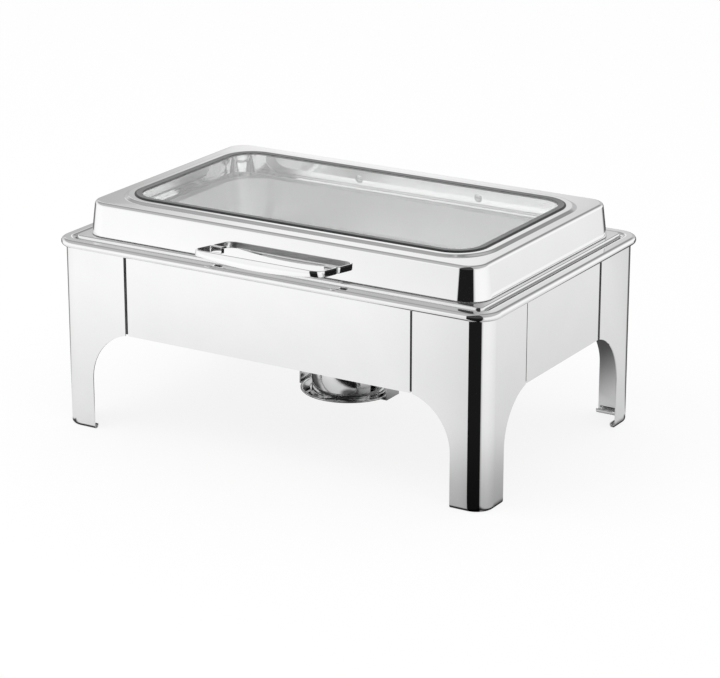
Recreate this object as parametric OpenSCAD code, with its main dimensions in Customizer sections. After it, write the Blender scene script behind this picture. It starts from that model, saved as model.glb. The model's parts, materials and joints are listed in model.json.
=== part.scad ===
// Full-size chafing dish: a polished sheet-steel stand with arched corner legs, a lift-out
// food pan in a water pan, a rear-hinged lid with a glass window, and a fuel burner below.
// X runs along the long side, the front is at -Y, Z is up and the feet stand at Z = 0.

/* [Stand] */
// Length of the stand over its leg faces
stand_l = 600; // [560:1:640]
// Width of the stand over its leg faces
stand_w = 386; // [360:1:420]
// Height of the legs and panels under the rim roll
stand_h = 232; // [215:1:260]
// Outside radius of the stand's corners
corner_r = 23; // [18:0.5:26]
// Thickness of the leg sheet
leg_t = 1.2; // [0.9:0.1:1.4]
// Width of each leg wing, from the corner to the seam
wing_w = 97; // [90:1:110]
// Width of a foot on each side of the corner
foot_w = 46; // [40:1:52]
// Radius of the arch between foot and panel
arch_r = 67; // [58:1:75]
// Diameter of the rolled hem under a foot
hem_d = 8; // [6:0.5:10]
// Depth of the flat under the rolled hem
foot_flat = 0.4; // [0.2:0.1:0.6]

/* [Panels] */
// Height of the panels' bottom edge
panel_z = 131; // [120:1:140]
// Thickness of the panel sheet
panel_t = 1.0; // [0.8:0.1:1.2]
// How far the panel faces lie behind the leg faces
panel_set = 1.0; // [0.6:0.1:1.4]
// Open gap between a leg wing and a panel
seam_gap = 3.4; // [2:0.1:4]
// Width of the return along a panel's bottom edge
return_w = 14; // [12:0.5:18]
// Overlap of a seam strap on the leg and on the panel
strap_lap = 12; // [8:0.5:16]
// Thickness of a seam strap behind the panel
strap_back = 1.2; // [0.8:0.1:1.6]
// Gap between a seam strap and the panel's bottom return
strap_gap = 1; // [0.5:0.1:2]

/* [Rim] */
// How far the rim roll stands out from the leg faces
roll_out = 6.5; // [5.5:0.1:8]
// Width of the rim roll
roll_w = 17; // [15:0.5:20]
// Height of the rim roll
roll_h = 10; // [8:0.5:12]
// Thickness of the rim sheet
rim_t = 1.2; // [0.9:0.1:1.5]
// Depth of the collar that hangs from the rim ledge
collar_h = 14; // [10:1:20]
// Clearance between the rim collar and the water pan
collar_gap = 3; // [2:0.1:4]
// Clearance between the seam straps and the slot under the rim roll
slot_gap = 0.4; // [0.2:0.1:0.6]

/* [Water pan] */
// Gap between the rim roll and the water pan's flange
groove_w = 3; // [2:0.1:4]
// Height of the flange's flat above the rim ledge
flange_h = 7.2; // [6:0.1:9]
// Width of the sloped skirt round the flange
skirt_w = 7.5; // [6.5:0.1:7.8]
// Drop of the skirt before it turns down
skirt_drop = 3.2; // [2:0.1:4]
// Corner radius of the flange
flange_r = 8; // [8:0.5:14]
// Depth of the water pan below its flange
water_depth = 94; // [85:1:98]
// Bend radius along the bottom of the water pan
water_bend = 12; // [8:1:16]
// Thickness of the pan sheet
pan_t = 1.0; // [0.8:0.1:1.2]

/* [Food pan] */
// Distance from the stand's end faces to the food pan's rim
pan_end = 35; // [30:0.5:44]
// Distance from the stand's front and rear faces to the food pan's rim
pan_side = 30.5; // [28:0.5:38]
// Depth of the food pan
pan_depth = 65; // [55:1:75]
// Height of the food pan's rim edge
pan_edge = 1.8; // [1.5:0.1:2.4]
// Width of the food pan's flat rim
pan_rim = 11.5; // [10:0.5:13]
// Corner radius of the food pan's body
pan_r = 48; // [40:1:55]
// Bend radius along the bottom of the food pan
pan_bend = 15; // [10:1:20]
// Overlap of the food pan's rim on the water pan
pan_seat = 6; // [4:0.5:7]

/* [Lid] */
// Set-back of the lid wall from the water pan flange's edge
lid_set = 8.7; // [8.2:0.1:10]
// Height of the lid from its lower edge to its flat top
lid_h = 41.6; // [38:0.2:48]
// Corner radius of the lid wall
lid_r = 28; // [24:0.5:34]
// Lean of the lid's walls, inwards as they rise, in degrees
lid_lean = 7; // [4:0.5:8]
// Radius of the lid's shoulder
shoulder_r = 7; // [5:0.5:9]
// Thickness of the lid sheet
lid_t = 1.0; // [0.8:0.1:1.2]
// Width of the flat band between the lid's shoulder and its top plate
shoulder_band = 4; // [3:0.5:8]
// Height of the folded hem inside the lid's lower edge
lid_hem = 4; // [3:0.5:5]
// Resting gap under the lid's lower edge
lid_gap = 0.2; // [0.1:0.1:0.4]

/* [Window] */
// Distance from the lid's end walls to the window opening
frame_end = 35.3; // [31:0.1:46]
// Distance from the lid's front and rear walls to the window opening
frame_side = 39.8; // [36:0.1:48]
// Corner radius of the window opening
window_r = 38; // [34:1:50]
// Width of the raised frame round the window
curb_w = 12; // [9:0.5:14]
// Height of the raised frame round the window
curb_h = 2.5; // [2:0.1:4]
// Thickness of the glass
glass_t = 4; // [3:0.5:5]
// Width of each gasket lip over the metal or the glass
lip_w = 4; // [3:0.5:5]
// Thickness of the gasket lips
lip_t = 1.5; // [1:0.1:2]
// Width of the gasket web between metal and glass
web_w = 2; // [1.5:0.1:3]

/* [Handle] */
// Length of the handle over its ends
handle_l = 180; // [150:1:200]
// Reach of the handle, square to the lid wall
handle_reach = 42; // [38:0.5:48]
// Thickness of the handle's strip
strip_t = 3; // [2.5:0.1:4]
// Height of the handle bar at its middle, where its lower edge bows down
bar_h = 13; // [11:0.5:15]
// Height of the handle's arms
arm_h = 8; // [7:0.5:9]
// Outside radius of the handle's front bends
bend_out_r = 14; // [10:0.5:18]
// Outside radius of the bends at the lid wall
lug_bend_r = 5; // [4:0.5:7]
// Length of the lugs that lie on the lid wall
lug_l = 13; // [12:0.5:16]
// Level stretch of the bar's underside between its bow and a bend
bow_lead = 1; // [0.5:0.1:3]
// Height of the handle's lugs above the lid's lower edge, at their middle
handle_z = 11; // [10:0.5:14]
// Shank radius of the handle screws
screw_r = 2; // [1.6:0.1:2.4]
// Head radius of the handle screws
screw_head_r = 4; // [3.4:0.1:4.6]
// Head height of the handle screws
screw_head_h = 2.6; // [2:0.1:3]
// How far the screws end behind the front of a lug
screw_room = 0.4; // [0.2:0.1:0.8]

/* [Hinge] */
// Length of the hinge leaves
leaf_l = 204; // [196:1:220]
// Thickness of the hinge leaves
leaf_t = 2; // [1.5:0.1:2.2]
// Distance of the hinge axis from the leg faces
axis_out = 11; // [10.5:0.1:13]
// Height of the hinge axis above the lid's lower edge
axis_up = 3.1; // [2.8:0.1:4]
// Radius of the hinge knuckles
knuckle_r = 4.5; // [4:0.1:4.8]
// Length of one hinge knuckle
knuckle_l = 30; // [24:0.5:32]
// Gap between neighbouring knuckles
knuckle_gap = 0.4; // [0.3:0.1:0.8]
// Radius of the hinge pin
hinge_pin_r = 2; // [1.6:0.1:2.4]
// Running clearance of a pivot in its moving hole
pivot_gap = 0.05; // [0.03:0.01:0.08]
// Height of the lid leaf on the lid wall
lid_leaf_h = 24; // [22:0.5:27]
// Height of the lid bolts above the lid's lower edge
lid_bolt_z = 14.6; // [13.5:0.1:17]
// Distance of the lid bolts from the leaf's ends
lid_bolt_inset = 14; // [11:0.5:18]
// Height of the stand leaf on the rear panel
stand_leaf_h = 30; // [24:1:36]
// Drop from the rim roll to the top of the stand leaf's flat
stand_leaf_drop = 12; // [11:0.5:14]
// Rise of the stand leaf's slope for each millimetre that it steps out
leaf_slope = 0.7; // [0.6:0.05:0.8]
// Distance of the inner stand bolts from the middle
stand_bolt_in = 35; // [25:1:45]
// Distance of the outer stand bolts from the leaf's ends
stand_bolt_inset = 12; // [11:0.5:16]
// Room left round the other leaf's knuckles
leaf_clear = 1; // [0.6:0.1:1.4]
// Height of the hinge pin's heads
pin_head_h = 2; // [1:0.1:2.5]

/* [Fasteners] */
// Shank radius of the bolts and screws
bolt_r = 2.5; // [2:0.1:2.8]
// Head radius of the bolts and screws
head_r = 5.5; // [4.5:0.1:6]
// Head height of the bolts and screws
head_h = 3.2; // [2.5:0.1:3.6]
// Radius of the nuts over their corners
nut_r = 4.6; // [4.2:0.1:5]
// Height of the nuts
nut_h = 4; // [3:0.1:4.5]
// Radial clearance of a bolt in its hole
bolt_gap = 0.2; // [0.1:0.05:0.4]
// Shank radius of the rivets
rivet_r = 2; // [1.6:0.1:2.4]
// Head radius of the rivets
rivet_head_r = 4; // [3.4:0.1:4.6]
// Head height of the rivets
rivet_head_h = 1.4; // [1:0.1:1.6]

/* [Burner] */
// Height of the burner strap's underside
hanger_z = 42; // [36:1:48]
// Thickness of the burner strap
hanger_t = 1.5; // [1.2:0.1:2]
// Width of the burner strap
hanger_w = 30; // [24:1:36]
// Half length of the strap's flat bottom
hanger_flat = 64; // [63:0.5:70]
// Height of the strap's upright arms
hanger_arm = 20; // [14:1:26]
// Gap between the burner strap's ends and the side panels
hanger_gap = 2; // [1:0.5:3]
// Inset of a rivet from the side panel's inner face
rivet_inset = 7; // [6:0.5:8]
// Diameter of the burner saucer
saucer_d = 122; // [112:1:124]
// Height of the saucer's upturned edge
saucer_lip = 2.5; // [2:0.5:6]
// Diameter of the fuel cup
cup_d = 93; // [88:1:98]
// Height of the fuel cup
cup_h = 55; // [48:1:58]
// Sheet thickness of the saucer, cup and cover
cup_t = 1.0; // [0.8:0.1:1.2]
// Height of the fuel cup's floor above its foot ring
cup_floor = 4; // [3:0.5:6]
// Distance from the cup wall to the cover's pivot
pivot_out = 6; // [5.5:0.5:8]
// Radius of the cover's pivot
pivot_r = 2.5; // [2:0.1:3]
// Head radius of the cover's pivot
pivot_head_r = 4.7; // [4:0.1:5.2]
// Head height of the cover's pivot
pivot_head_h = 1.5; // [1:0.1:2]
// Width of the pivot ears
ear_w = 14; // [12:0.5:18]
// Length of the cover's finger tab past the pivot
tab_l = 24; // [18:1:28]
// Gap between the cover and the cup's rim
cover_gap = 0.1; // [0.1:0.05:0.3]

/* [Hidden] */
$fn = 96;

// Overshoot that carries a cut clear of the face it starts from
cut = 1;
polished = "gainsboro";
satin = "silver";
black = "dimgray";

half_l = stand_l / 2;
half_w = stand_w / 2;

// Legs: the arch is tangent to the foot and ends at the panel's bottom edge
hem_r = hem_d / 2;
hem_z = hem_r - foot_flat;
arch_u = foot_w + arch_r;
arch_z = panel_z - sqrt(arch_r * arch_r - (arch_u - wing_w) * (arch_u - wing_w));

// Panels and the straps behind their seams
panel_back = panel_set + panel_t;
strap_d = panel_back + strap_back;
return_top = panel_z + panel_t;
front_panel_l = stand_l - 2 * (wing_w + seam_gap);
side_panel_l = stand_w - 2 * (wing_w + seam_gap);

// Rim, measured inwards from the leg faces
roll_r = roll_h / 2;
roll_in = roll_w - roll_out;
ledge_z = stand_h + roll_r;
slot_d = strap_d + slot_gap;

// Water pan
pan_l = stand_l - 2 * pan_end;
pan_w = stand_w - 2 * pan_side;
flange_l = stand_l - 2 * (roll_in + groove_w);
flange_w = stand_w - 2 * (roll_in + groove_w);
seat_z = ledge_z + flange_h;
water_in_l = pan_l - 2 * pan_seat;
water_in_w = pan_w - 2 * pan_seat;
water_in_r = pan_r + pan_rim - pan_seat;
water_out_l = water_in_l + 2 * pan_t;
water_out_w = water_in_w + 2 * pan_t;
water_out_r = water_in_r + pan_t;
collar_l = water_out_l + 2 * collar_gap;
collar_w = water_out_w + 2 * collar_gap;
collar_r = water_out_r + collar_gap;

// Food pan
pan_z = seat_z + pan_edge;
body_l = pan_l - 2 * pan_rim;
body_w = pan_w - 2 * pan_rim;

// Lid
lid_z = seat_z + lid_gap;
lid_l = flange_l - 2 * lid_set;
lid_w = flange_w - 2 * lid_set;
lid_half_w = lid_w / 2;
lean_z = lid_z + handle_z;
wall_slope = tan(lid_lean);
foot_in = (lid_z - lean_z) * wall_slope;
hem_in = foot_in + lid_hem * wall_slope;
crest_in = foot_in + (lid_h - shoulder_r) * wall_slope;
top_edge = crest_in + shoulder_r + shoulder_band;
window_l = lid_l - 2 * frame_end;
window_w = lid_w - 2 * frame_side;
lid_top = lid_z + lid_h;
lid_split = lid_top - shoulder_r / 2;
curb_top = lid_top + curb_h;
curb_l = window_l + 2 * curb_w;
curb_y = window_w + 2 * curb_w;
curb_r = window_r + curb_w;
glass_l = window_l - 2 * web_w;
glass_w = window_w - 2 * web_w;
glass_r = window_r - web_w;
gasket_top = curb_top + lip_t;
glass_top = gasket_top - lip_t / 2;
glass_z = glass_top - glass_t;

// Handle
lug_end = handle_l / 2 - lug_bend_r - lug_l;
lug_x = lug_end + lug_l / 2;
bow = bar_h - arm_h;
bow_half = handle_l / 2 - bend_out_r - bow_lead;
bow_r = (bow_half * bow_half + bow * bow) / (2 * bow);
screw_l = lid_t + strip_t - screw_room;

// Hinge
axis_y = half_w + axis_out;
axis_z = lid_z + axis_up;
knuckle_step = knuckle_l + knuckle_gap;
barrel_l = 5 * knuckle_l + 4 * knuckle_gap;
leaf_low = axis_z - leaf_t / 2;
leaf_bolt_z = lid_z + lid_bolt_z;
leaf_y = lid_half_w - (leaf_bolt_z - lean_z) * wall_slope;
leaf_foot_y = lid_half_w - (leaf_low - lean_z) * wall_slope + leaf_t / 2;
lid_bolt_x = leaf_l / 2 - lid_bolt_inset;
stand_bolt_out = leaf_l / 2 - stand_bolt_inset;
rear_face = half_w - panel_set;
stand_leaf_top = stand_h - stand_leaf_drop;
stand_leaf_low = stand_leaf_top - stand_leaf_h;
stand_bolt_z = stand_leaf_low + stand_leaf_h / 2;
lid_knuckles = [-1, 1];
stand_knuckles = [-2, 0, 2];

// Burner
hanger_top = hanger_z + hanger_t;
hanger_rise = return_top - hanger_z - hanger_arm;
hanger_end = half_l - panel_back - hanger_gap;
rivet_x = half_l - panel_back - rivet_inset;
saucer_z = hanger_top + cup_t;
cup_r = cup_d / 2;
cup_top = saucer_z + cup_h;
cover_z = cup_top + cover_gap;
pivot_y = -(cup_r + pivot_out);

// Shapes that repeat

module rounded_rect(l, w, r) {
    square([l, w - 2 * r], center = true);
    square([l - 2 * r, w], center = true);
    for (sx = [-1, 1], sy = [-1, 1])
        translate([sx * (l / 2 - r), sy * (w / 2 - r)]) circle(r);
}

module rounded_ring(l, w, r, t) {
    difference() {
        rounded_rect(l, w, r);
        rounded_rect(l - 2 * t, w - 2 * t, r - t);
    }
}

module at_four_corners() {
    for (sx = [0, 1], sy = [0, 1])
        mirror([sx, 0, 0]) mirror([0, sy, 0]) children();
}

// Sweeps a profile of inward distance and height round a rounded rectangle
module ring_sweep(l, w, r) {
    at_four_corners()
        translate([l / 2 - r, w / 2 - r, 0])
            rotate_extrude(angle = 90) translate([r, 0]) mirror([1, 0]) children();
    for (s = [0, 1]) {
        mirror([0, s, 0])
            translate([-(l / 2 - r), w / 2, 0]) rotate([90, 0, 90])
                linear_extrude(l - 2 * r) mirror([1, 0]) children();
        mirror([s, 0, 0])
            translate([l / 2, w / 2 - r, 0]) rotate([90, 0, 0])
                linear_extrude(w - 2 * r) mirror([1, 0]) children();
    }
}

// Quarter bend of sheet at the foot of a wall: outer radius r, thickness t
module bend_quarter(r, t) {
    intersection() {
        translate([r, r]) difference() {
            circle(r);
            circle(r - t);
        }
        square([r, r]);
    }
}

// Open pan hanging below Z = 0, given by its outside size
module basin(l, w, r, depth, bend, t) {
    ring_sweep(l, w, r)
        translate([0, -depth]) {
            translate([0, bend]) square([t, depth - bend]);
            bend_quarter(bend, t);
        }
    translate([0, 0, -depth])
        linear_extrude(t) rounded_rect(l - 2 * bend, w - 2 * bend, r - bend);
}

// Dome head of radius r and height h, standing on Z = 0
module dome(r, h) {
    ball_r = (r * r + h * h) / (2 * h);
    intersection() {
        translate([0, 0, h - ball_r]) sphere(ball_r);
        cylinder(r = r, h = h);
    }
}

// Bolt with its head standing on Z = 0 and its shank below
module bolt(shank_r, length, cap_r, cap_h) {
    dome(cap_r, cap_h);
    translate([0, 0, -length]) cylinder(r = shank_r, h = length);
}

module hex_nut() {
    difference() {
        cylinder(r = nut_r, h = nut_h, $fn = 6);
        translate([0, 0, -cut]) cylinder(r = bolt_r + pivot_gap, h = nut_h + 2 * cut);
    }
}

// Turns +Z towards the rear
module face_rear() {
    rotate([-90, 0, 0]) children();
}

// Turns +Z towards the front
module face_front() {
    rotate([90, 0, 0]) children();
}

// Extrudes a profile of Y and Z evenly about the middle, along X
module along_x(l) {
    translate([-l / 2, 0, 0]) rotate([90, 0, 90]) linear_extrude(l) children();
}

// Extrudes a profile of X and Z evenly about the middle, along Y
module along_y(w) {
    translate([0, w / 2, 0]) rotate([90, 0, 0]) linear_extrude(w) children();
}

// Stand

module leg_profile() {
    translate([0, hem_z]) square([leg_t, stand_h - hem_z]);
    intersection() {
        translate([hem_r, hem_z]) difference() {
            circle(hem_r);
            circle(hem_r - leg_t);
        }
        union() {
            square([hem_d, hem_z]);
            translate([hem_r, 0]) square([hem_r, hem_z + hem_r / 2]);
        }
    }
}

module arch_opening() {
    translate([arch_u, arch_z]) circle(arch_r);
    translate([foot_w, -cut]) square([wing_w - foot_w + cut, arch_z + cut]);
}

// Leg of the rear right corner, which the other three mirror
module corner_leg() {
    wing_run = wing_w - corner_r;
    depth = hem_d + 2 * cut;
    difference() {
        union() {
            translate([half_l - corner_r, half_w - corner_r, 0])
                rotate_extrude(angle = 90)
                    translate([corner_r, 0]) mirror([1, 0]) leg_profile();
            translate([half_l - wing_w, half_w, 0]) rotate([90, 0, 90])
                linear_extrude(wing_run) mirror([1, 0]) leg_profile();
            translate([half_l, half_w - corner_r, 0]) rotate([90, 0, 0])
                linear_extrude(wing_run) mirror([1, 0]) leg_profile();
        }
        translate([half_l, half_w + cut, 0]) rotate([90, 0, 0])
            linear_extrude(depth) mirror([1, 0]) arch_opening();
        translate([half_l + cut - depth, half_w, 0]) rotate([90, 0, 90])
            linear_extrude(depth) mirror([1, 0]) arch_opening();
    }
}

module leg_front_left() {
    color(polished) mirror([1, 0, 0]) mirror([0, 1, 0]) corner_leg();
}

module leg_front_right() {
    color(polished) mirror([0, 1, 0]) corner_leg();
}

module leg_rear_left() {
    color(polished) mirror([1, 0, 0]) corner_leg();
}

module leg_rear_right() {
    color(polished) corner_leg();
}

// Panel section: inward distance from the leg faces, and height
module panel_profile() {
    translate([panel_set, panel_z]) square([panel_t, stand_h - panel_z]);
    translate([panel_set, panel_z]) square([return_w, panel_t]);
}

module long_panel() {
    translate([0, half_w, 0]) along_x(front_panel_l) mirror([1, 0]) panel_profile();
}

module end_panel() {
    difference() {
        translate([half_l, 0, 0]) along_y(side_panel_l) mirror([1, 0]) panel_profile();
        translate([rivet_x, 0, panel_z - cut])
            cylinder(r = rivet_r, h = panel_t + 2 * cut);
    }
}

module front_panel() {
    color(polished) mirror([0, 1, 0]) long_panel();
}

module at_stand_bolts() {
    for (s = [-1, 1], x = [stand_bolt_in, stand_bolt_out])
        translate([s * x, rear_face, stand_bolt_z]) children();
}

module rear_panel() {
    color(polished) difference() {
        long_panel();
        at_stand_bolts()
            translate([0, cut, 0]) face_front()
                cylinder(r = bolt_r + bolt_gap, h = panel_t + 2 * cut);
    }
}

module left_panel() {
    color(polished) mirror([1, 0, 0]) end_panel();
}

module right_panel() {
    color(polished) end_panel();
}

// Strap behind one seam: distance from the corner, and inward distance
module strap_profile() {
    translate([wing_w - strap_lap, leg_t])
        square([strap_lap + seam_gap / 2, strap_d - leg_t]);
    translate([wing_w, panel_back])
        square([seam_gap + strap_lap, strap_back]);
}

module seam_straps() {
    strap_z = return_top + strap_gap;
    color(satin) at_four_corners() {
        translate([half_l, half_w, strap_z]) rotate([0, 0, 180])
            linear_extrude(stand_h - strap_z) strap_profile();
        translate([half_l, half_w, strap_z]) rotate([0, 0, 180]) mirror([1, -1, 0])
            linear_extrude(stand_h - strap_z) strap_profile();
    }
}

// Long round-ended section of the rim roll, drawn inside by t
module roll_section(t) {
    for (d = [roll_r - roll_out, roll_in - roll_r])
        translate([d, ledge_z]) circle(roll_r - t);
    translate([roll_r - roll_out, stand_h + t])
        square([roll_w - roll_h, roll_h - 2 * t]);
}

module top_rim() {
    ledge_out = roll_in + groove_w / 2;
    color(polished) {
        ring_sweep(stand_l, stand_w, corner_r) {
            difference() {
                roll_section(0);
                roll_section(rim_t);
                translate([slot_d, stand_h - cut])
                    square([roll_in - roll_r - slot_d, rim_t + 2 * cut]);
            }
            translate([roll_in - rim_t / 2, ledge_z - rim_t])
                square([(groove_w + rim_t) / 2, rim_t]);
        }
        translate([0, 0, ledge_z - rim_t]) linear_extrude(rim_t) difference() {
            rounded_rect(stand_l - 2 * ledge_out, stand_w - 2 * ledge_out,
                corner_r - ledge_out);
            rounded_rect(collar_l, collar_w, collar_r);
        }
        translate([0, 0, ledge_z - collar_h]) linear_extrude(collar_h - rim_t)
            rounded_ring(collar_l + 2 * rim_t, collar_w + 2 * rim_t,
                collar_r + rim_t, rim_t);
    }
}

// Pans

module skirt_profile() {
    turn_z = flange_h - skirt_drop;
    polygon([[0, 0], [pan_t, 0], [pan_t, turn_z - pan_t / 2],
        [skirt_w, flange_h - pan_t], [skirt_w, flange_h], [0, turn_z]]);
}

module water_pan() {
    color(satin) {
        translate([0, 0, ledge_z]) ring_sweep(flange_l, flange_w, flange_r) skirt_profile();
        translate([0, 0, seat_z - pan_t]) linear_extrude(pan_t) difference() {
            rounded_rect(flange_l - 2 * skirt_w, flange_w - 2 * skirt_w,
                flange_r - skirt_w);
            rounded_rect(water_in_l, water_in_w, water_in_r);
        }
        translate([0, 0, seat_z - pan_t])
            basin(water_out_l, water_out_w, water_out_r, water_depth - pan_t,
                water_bend, pan_t);
    }
}

module food_pan() {
    rim_r = pan_r + pan_rim;
    color(satin) {
        translate([0, 0, pan_z - pan_t]) linear_extrude(pan_t) difference() {
            rounded_rect(pan_l, pan_w, rim_r);
            rounded_rect(body_l - 2 * pan_t, body_w - 2 * pan_t, pan_r - pan_t);
        }
        translate([0, 0, seat_z]) linear_extrude(pan_edge - pan_t)
            rounded_ring(pan_l, pan_w, rim_r, pan_t);
        translate([0, 0, pan_z - pan_t])
            basin(body_l, body_w, pan_r, pan_depth - pan_t, pan_bend, pan_t);
    }
}

// Burner

// Hanger outline: a flat bottom, and on each side an arm up, a slope outwards and a level end
module hanger_profile() {
    slope_x = hanger_flat + hanger_rise;
    arm_top = hanger_z + hanger_arm;
    lean = hanger_t * tan(22.5);
    half = [[hanger_flat, hanger_z], [hanger_flat, arm_top], [slope_x, return_top],
        [hanger_end, return_top], [hanger_end, return_top + hanger_t],
        [slope_x - lean, return_top + hanger_t], [hanger_flat - hanger_t, arm_top + lean],
        [hanger_flat - hanger_t, hanger_top]];
    other = [for (i = [len(half) - 1:-1:0]) [-half[i][0], half[i][1]]];
    polygon(concat(half, other));
}

module burner_strap() {
    color(satin) difference() {
        along_y(hanger_w) hanger_profile();
        for (s = [-1, 1])
            translate([s * rivet_x, 0, return_top - cut])
                cylinder(r = rivet_r, h = hanger_t + 2 * cut);
        translate([0, 0, hanger_z - cut]) cylinder(r = rivet_r, h = hanger_t + 2 * cut);
    }
}

// Rivet through a stack that stands on Z = 0
module rivet(stack) {
    cylinder(r = rivet_r, h = stack);
    translate([0, 0, stack]) dome(rivet_head_r, rivet_head_h);
    mirror([0, 0, 1]) dome(rivet_head_r, rivet_head_h);
}

module strap_rivets() {
    color(satin) for (s = [-1, 1])
        translate([s * rivet_x, 0, panel_z]) rivet(panel_t + hanger_t);
}

module burner_saucer() {
    color(polished) translate([0, 0, hanger_top]) difference() {
        cylinder(d = saucer_d, h = saucer_lip);
        translate([0, 0, cup_t]) cylinder(d = saucer_d - 2 * cup_t, h = saucer_lip);
        translate([0, 0, -cut]) cylinder(r = rivet_r, h = cup_t + 2 * cut);
    }
}

module saucer_rivet() {
    color(satin) translate([0, 0, hanger_z]) rivet(hanger_t + cup_t);
}

// Ear beside a round wall, reaching from the wall to past the pivot
module ear_outline() {
    translate([0, pivot_y]) circle(ear_w / 2);
    translate([-ear_w / 2, pivot_y]) square([ear_w, pivot_out + cup_t / 2]);
}

module fuel_cup() {
    ear_t = 2 * cup_t;
    color(polished) translate([0, 0, saucer_z]) {
        difference() {
            cylinder(r = cup_r, h = cup_h);
            translate([0, 0, cup_floor + cup_t]) cylinder(r = cup_r - cup_t, h = cup_h);
            translate([0, 0, -cut]) cylinder(r = cup_r - cup_t, h = cup_floor + cut);
        }
        difference() {
            translate([0, 0, cup_h - ear_t]) linear_extrude(ear_t) ear_outline();
            translate([0, 0, -cut]) cylinder(r = cup_r - cup_t / 2, h = cup_h + 2 * cut);
            translate([0, pivot_y, 0]) cylinder(r = pivot_r, h = cup_h + cut);
        }
    }
}

module cover_pivot() {
    ear_t = 2 * cup_t;
    color(satin) translate([0, pivot_y, cup_top - ear_t]) {
        stack = ear_t + 2 * cover_gap + cup_t;
        cylinder(r = pivot_r, h = stack);
        translate([0, 0, stack]) dome(pivot_head_r, pivot_head_h);
        mirror([0, 0, 1]) dome(pivot_head_r, pivot_head_h);
    }
}

module fuel_cover() {
    color(polished) translate([0, 0, cover_z]) linear_extrude(cup_t) difference() {
        union() {
            circle(cup_r);
            translate([-ear_w / 2, pivot_y - tab_l]) square([ear_w, tab_l - pivot_y]);
            translate([0, pivot_y - tab_l]) circle(ear_w / 2);
        }
        translate([0, pivot_y]) circle(pivot_r + pivot_gap);
    }
}

// Lid

// Inward distance from the lid's outline at the height of the handle's lugs, and height
module lid_profile() {
    wall_h = lid_h - shoulder_r;
    polygon([[foot_in, 0], [foot_in + lid_t, 0], [crest_in + lid_t, wall_h],
        [crest_in, wall_h]]);
    polygon([[foot_in + lid_t, 0], [foot_in + 2 * lid_t, 0], [hem_in + 2 * lid_t, lid_hem],
        [hem_in + lid_t, lid_hem]]);
    translate([crest_in, lid_h]) mirror([0, 1]) bend_quarter(shoulder_r, lid_t);
    translate([crest_in + shoulder_r, lid_h - lid_t]) square([shoulder_band, lid_t]);
}

// Square to the rear wall, at the height of the lid bolts
module on_rear_wall() {
    translate([0, leaf_y, leaf_bolt_z]) rotate([lid_lean, 0, 0]) children();
}

module at_lid_bolts() {
    on_rear_wall()
        for (s = [-1, 1]) translate([s * lid_bolt_x, 0, 0]) children();
}

// Square to the front wall, at the height of the handle's lugs
module on_front_wall() {
    translate([0, -lid_half_w, lean_z]) rotate([-lid_lean, 0, 0]) children();
}

module at_handle_lugs() {
    on_front_wall()
        for (s = [-1, 1]) translate([s * lug_x, 0, 0]) children();
}

// The whole pressing, from its hem to the window's edge
module lid_pressing() {
    difference() {
        union() {
            translate([0, 0, lid_z]) ring_sweep(lid_l, lid_w, lid_r) lid_profile();
            translate([0, 0, lid_top - lid_t]) linear_extrude(lid_t) difference() {
                rounded_rect(lid_l - 2 * top_edge, lid_w - 2 * top_edge, lid_r - top_edge);
                rounded_rect(curb_l - 2 * lid_t, curb_y - 2 * lid_t, curb_r - lid_t);
            }
            translate([0, 0, lid_top]) linear_extrude(curb_h)
                rounded_ring(curb_l, curb_y, curb_r, lid_t);
            translate([0, 0, curb_top - lid_t]) linear_extrude(lid_t)
                rounded_ring(curb_l - lid_t, curb_y - lid_t, curb_r - lid_t / 2,
                    curb_w - lid_t / 2);
        }
        at_lid_bolts()
            translate([0, cut, 0]) face_front()
                cylinder(r = bolt_r + bolt_gap, h = lid_t + 2 * cut);
        at_handle_lugs()
            translate([0, -cut, 0]) face_rear()
                cylinder(r = screw_r + bolt_gap, h = lid_t + 2 * cut);
    }
}

// The pressing is held as three pieces: both halves of its wall, up to the middle of the
// shoulder, and the crown over them
module lid_wall_half(side) {
    color(polished) intersection() {
        lid_pressing();
        translate([side < 0 ? -half_l : 0, -half_w, lid_z - cut])
            cube([half_l, stand_w, lid_split - lid_z + cut]);
    }
}

module lid_wall_left() {
    lid_wall_half(-1);
}

module lid_wall_right() {
    lid_wall_half(1);
}

module lid_crown() {
    color(polished) intersection() {
        lid_pressing();
        translate([-half_l, -half_w, lid_split])
            cube([stand_l, stand_w, curb_top - lid_split + cut]);
    }
}

// H-shaped section: inward distance from the window's edge, and height
module gasket_profile() {
    under_metal = curb_top - lid_t - lip_t;
    difference() {
        union() {
            translate([-lip_w, under_metal])
                square([lip_w + web_w, gasket_top - under_metal]);
            translate([web_w / 2, glass_z - lip_t])
                square([web_w / 2 + lip_w, gasket_top - glass_z + lip_t]);
        }
        translate([-lip_w - cut, curb_top - lid_t]) square([lip_w + cut, lid_t]);
        translate([web_w, glass_z]) square([lip_w + cut, glass_t]);
    }
}

module glass_gasket() {
    color(black) ring_sweep(window_l, window_w, window_r) gasket_profile();
}

module glass_panel() {
    color("lightgray", 0.4) translate([0, 0, glass_z])
        linear_extrude(glass_t) rounded_rect(glass_l, glass_w, glass_r);
}

// Handle seen from above: a strip bent to a loop, which ends in lugs on the lid's front wall
module handle_outline(inset) {
    l = handle_l - 2 * inset;
    intersection() {
        rounded_rect(l, 2 * (handle_reach - inset), bend_out_r - inset);
        translate([0, -handle_reach])
            rounded_rect(l, 2 * (handle_reach - inset), lug_bend_r - inset);
    }
}

module handle_plan() {
    difference() {
        handle_outline(0);
        handle_outline(strip_t);
        translate([-lug_end, -strip_t - cut]) square([2 * lug_end, strip_t + 2 * cut]);
    }
}

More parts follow.
